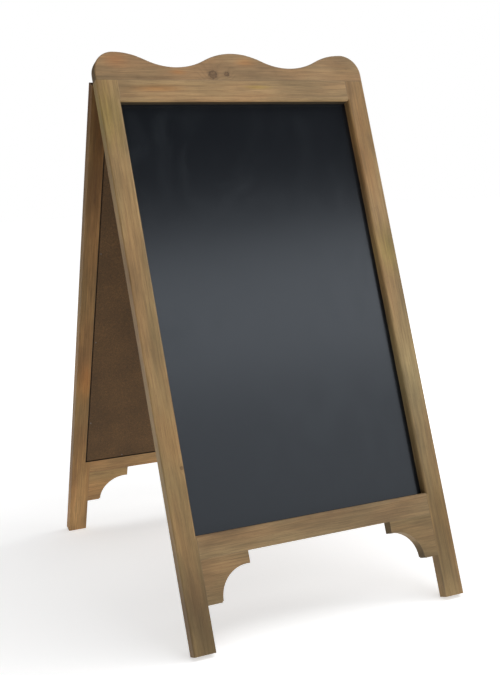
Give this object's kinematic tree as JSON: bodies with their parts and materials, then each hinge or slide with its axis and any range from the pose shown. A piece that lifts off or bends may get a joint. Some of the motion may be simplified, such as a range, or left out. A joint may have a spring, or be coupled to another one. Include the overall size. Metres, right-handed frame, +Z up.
{
  "type": "sandwich board",
  "caption": "Folding A-frame pavement chalkboard: two timber frames hinged at the top, scalloped crest in front, stepped cove brackets under the bottom rails.",
  "frame": {"origin": "on the floor, in the middle of the rectangle that the open board covers", "axes": "+Z up, +X to the right as seen from the crested front, +Y to the back; the fold axis lies along X at the top"},
  "size_m": [0.508, 0.6922, 0.9319],
  "materials": {
    "stained_pine": "light antique stain under a thin satin varnish, open pine grain",
    "biscuit_beech": "plain pressed beech, hidden in the joint",
    "chalkboard": "hardboard with a satin black chalkboard coat on its face, bare brown hardboard behind",
    "hinge_leaves": "brass-plated steel, satin",
    "hinge_pins": "drawn steel",
    "hinge_screws": "brass-plated steel, satin"
  },
  "bodies": {
    "front_frame": {"front_left_stile": "stained_pine", "front_left_bracket": "stained_pine", "front_right_stile": "stained_pine", "front_right_bracket": "stained_pine", "front_top_rail": "stained_pine", "front_bottom_rail": "stained_pine", "front_chalk_panel": "chalkboard", "front_hinge_screws": "hinge_screws", "front_crest": "stained_pine", "front_crest_biscuits": "biscuit_beech", "left_hinge_front_leaf": "hinge_leaves", "left_hinge_pin": "hinge_pins", "right_hinge_front_leaf": "hinge_leaves", "right_hinge_pin": "hinge_pins"},
    "rear_frame": {"rear_left_stile": "stained_pine", "rear_left_bracket": "stained_pine", "rear_right_stile": "stained_pine", "rear_right_bracket": "stained_pine", "rear_top_rail": "stained_pine", "rear_bottom_rail": "stained_pine", "rear_chalk_panel": "chalkboard", "rear_hinge_screws": "hinge_screws", "left_hinge_rear_leaf": "hinge_leaves", "right_hinge_rear_leaf": "hinge_leaves"}
  },
  "joints": [
    {"name": "fold", "type": "hinge", "parent": "front_frame", "child": "rear_frame", "pos_m": [0, 0.00002, 0.88133], "axis": [-1, 0, 0], "range_deg": [0, 40.74]}
  ]
}
